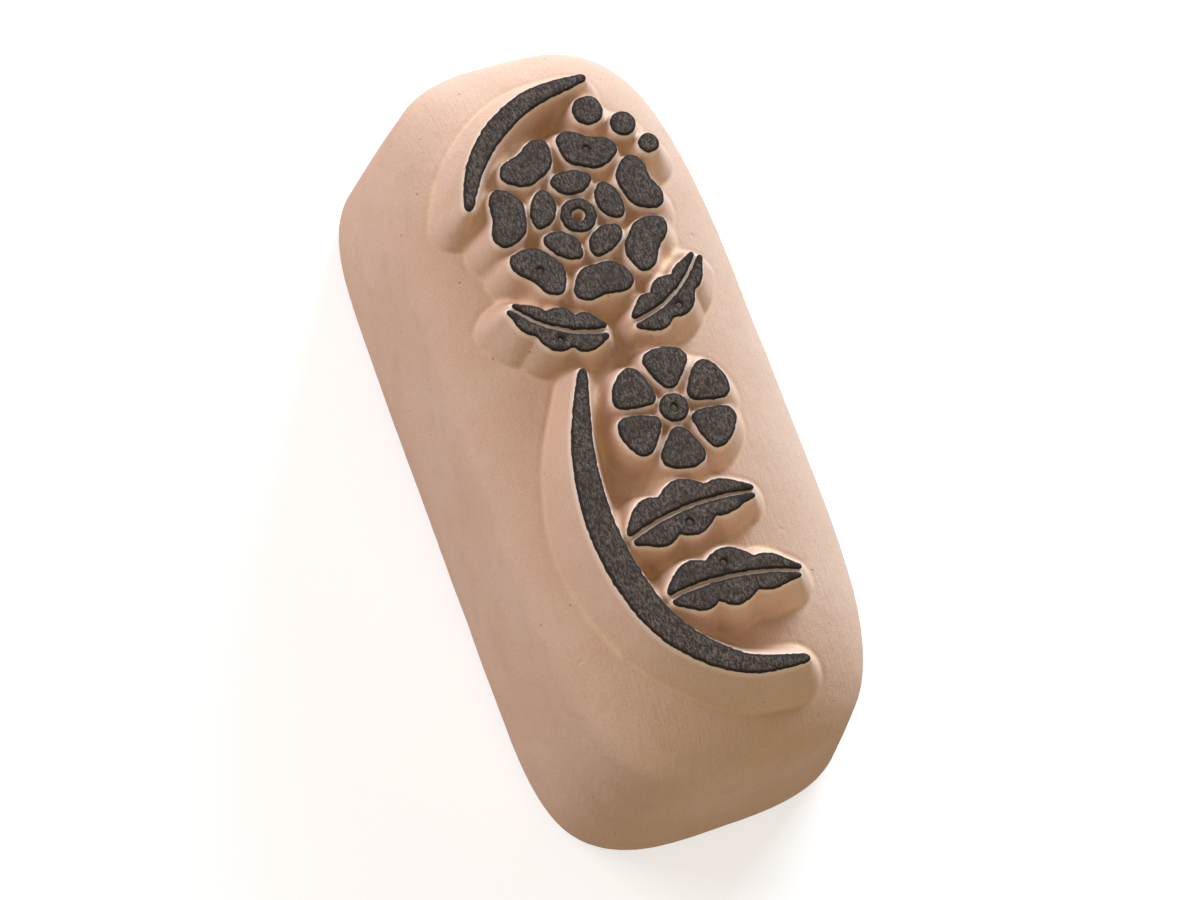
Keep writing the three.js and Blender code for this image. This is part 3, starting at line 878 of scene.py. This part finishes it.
def floor_material():
    """White to the camera and a plain grey to the light that bounces off it."""
    n = Nodes("floor_white")
    path = n.add("ShaderNodeLightPath")
    grey = (FLOOR_OTHER, FLOOR_OTHER, FLOOR_OTHER, 1)
    pale = (FLOOR_SEEN, FLOOR_SEEN, FLOOR_SEEN, 1)
    colour = n.blend(path.outputs["Is Camera Ray"], grey, pale)
    diffuse = n.add("ShaderNodeBsdfDiffuse")
    n.join(colour, diffuse.inputs["Color"])
    light = n.add("ShaderNodeEmission")
    light.inputs["Strength"].default_value = FLOOR_GLOW
    nothing = n.add("ShaderNodeEmission")
    nothing.inputs["Strength"].default_value = 0
    mix = n.add("ShaderNodeMixShader")
    n.join(path.outputs["Is Camera Ray"], mix.inputs["Fac"])
    n.join(nothing.outputs["Emission"], mix.inputs[1])
    n.join(light.outputs["Emission"], mix.inputs[2])
    total = n.add("ShaderNodeAddShader")
    n.join(diffuse.outputs["BSDF"], total.inputs[0])
    n.join(mix.outputs["Shader"], total.inputs[1])
    n.join(total.outputs["Shader"], n.output.inputs["Surface"])
    return n.material


def add_floor():
    half = FLOOR_HALF
    corners = [(-half, -half, 0), (half, -half, 0), (half, half, 0), (-half, half, 0)]
    floor = new_mesh("floor", corners, [(0, 1, 2, 3)], floor_material())


def add_world():
    """Soft warm light all round, and white behind the floor."""
    world = bpy.data.worlds.new("studio")
    world.use_nodes = True
    tree = world.node_tree
    tree.nodes.clear()
    output = tree.nodes.new("ShaderNodeOutputWorld")
    path = tree.nodes.new("ShaderNodeLightPath")
    mix = tree.nodes.new("ShaderNodeMixShader")
    soft = tree.nodes.new("ShaderNodeBackground")
    soft.inputs["Color"].default_value = WORLD_COLOUR
    soft.inputs["Strength"].default_value = WORLD_STRENGTH
    white = tree.nodes.new("ShaderNodeBackground")
    white.inputs["Strength"].default_value = 1
    tree.links.new(path.outputs["Is Camera Ray"], mix.inputs["Fac"])
    tree.links.new(soft.outputs["Background"], mix.inputs[1])
    tree.links.new(white.outputs["Background"], mix.inputs[2])
    tree.links.new(mix.outputs["Shader"], output.inputs["Surface"])
    bpy.context.scene.world = world


def add_lamp(name, azimuth, elevation, power, colour):
    """A square soft lamp, aimed at the stamp. Its azimuth is from the far end towards the right side."""
    lamp = bpy.data.lights.new(name, "AREA")
    lamp.shape = "SQUARE"
    lamp.size = LAMP_SIZE * MM
    lamp.energy = power
    lamp.color = colour
    holder = bpy.data.objects.new(name, lamp)
    turn = math.radians(azimuth)
    tilt = math.radians(elevation)
    away = Vector((math.sin(turn) * math.cos(tilt), math.cos(turn) * math.cos(tilt), math.sin(tilt)))
    holder.location = away * LAMP_DISTANCE * MM
    holder.rotation_euler = away.to_track_quat("Z", "Y").to_euler()
    bpy.context.scene.collection.objects.link(holder)


def add_lamps():
    add_lamp("far_right_lamp", 45, 20, 13.3, (0.73, 0.84, 1))
    add_lamp("far_left_lamp", -45, 22, 5.4, (0.95, 0.91, 1))
    add_lamp("near_lamp", 180, 20, 1.3, (1, 0.84, 0.53))


def add_camera():
    """The photograph's viewpoint: azimuth and elevation of the camera, and its roll about its own axis."""
    azimuth, elevation, roll = (math.radians(a) for a in (-47.946, 69.191, 28.917))
    focal_pixels = PIXELS_PER_MM * CAMERA_DISTANCE
    back = Vector(
        (
            math.sin(azimuth) * math.cos(elevation),
            -math.cos(azimuth) * math.cos(elevation),
            math.sin(elevation),
        )
    )
    level = Vector((math.cos(azimuth), math.sin(azimuth), 0))
    upright = back.cross(level)
    right = math.cos(roll) * level + math.sin(roll) * upright
    up = -math.sin(roll) * level + math.cos(roll) * upright
    camera = bpy.data.cameras.new("camera")
    camera.sensor_width = SENSOR_WIDTH
    camera.lens = SENSOR_WIDTH * focal_pixels / PHOTO_WIDTH
    camera.shift_x = -(CENTRE_X - PHOTO_WIDTH / 2) / PHOTO_WIDTH
    camera.shift_y = (CENTRE_Y - PHOTO_HEIGHT / 2) / PHOTO_WIDTH
    camera.clip_start = 0.01
    camera.clip_end = 10
    holder = bpy.data.objects.new("camera", camera)
    turn = Matrix((right, up, back)).transposed().to_4x4()
    place = (Vector((0, 0, STONE_HEIGHT / 2)) + back * CAMERA_DISTANCE) * MM
    holder.matrix_world = Matrix.Translation(place) @ turn
    bpy.context.scene.collection.objects.link(holder)
    bpy.context.scene.camera = holder


add_camera()
outlines = {
    name: [smooth_loop(loop) for loop in top_loops(node)]
    for name, node in sorted(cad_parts.items())
    if name != "stone_body"
}
build_stone(stone_material())
ink = ink_material()
for motif, start in MOTIFS.items():
    build_motif(motif, [name for name in outlines if name.startswith(start)], ink)
add_floor()
add_world()
add_lamps()
bpy.context.scene.view_settings.view_transform = "Standard"
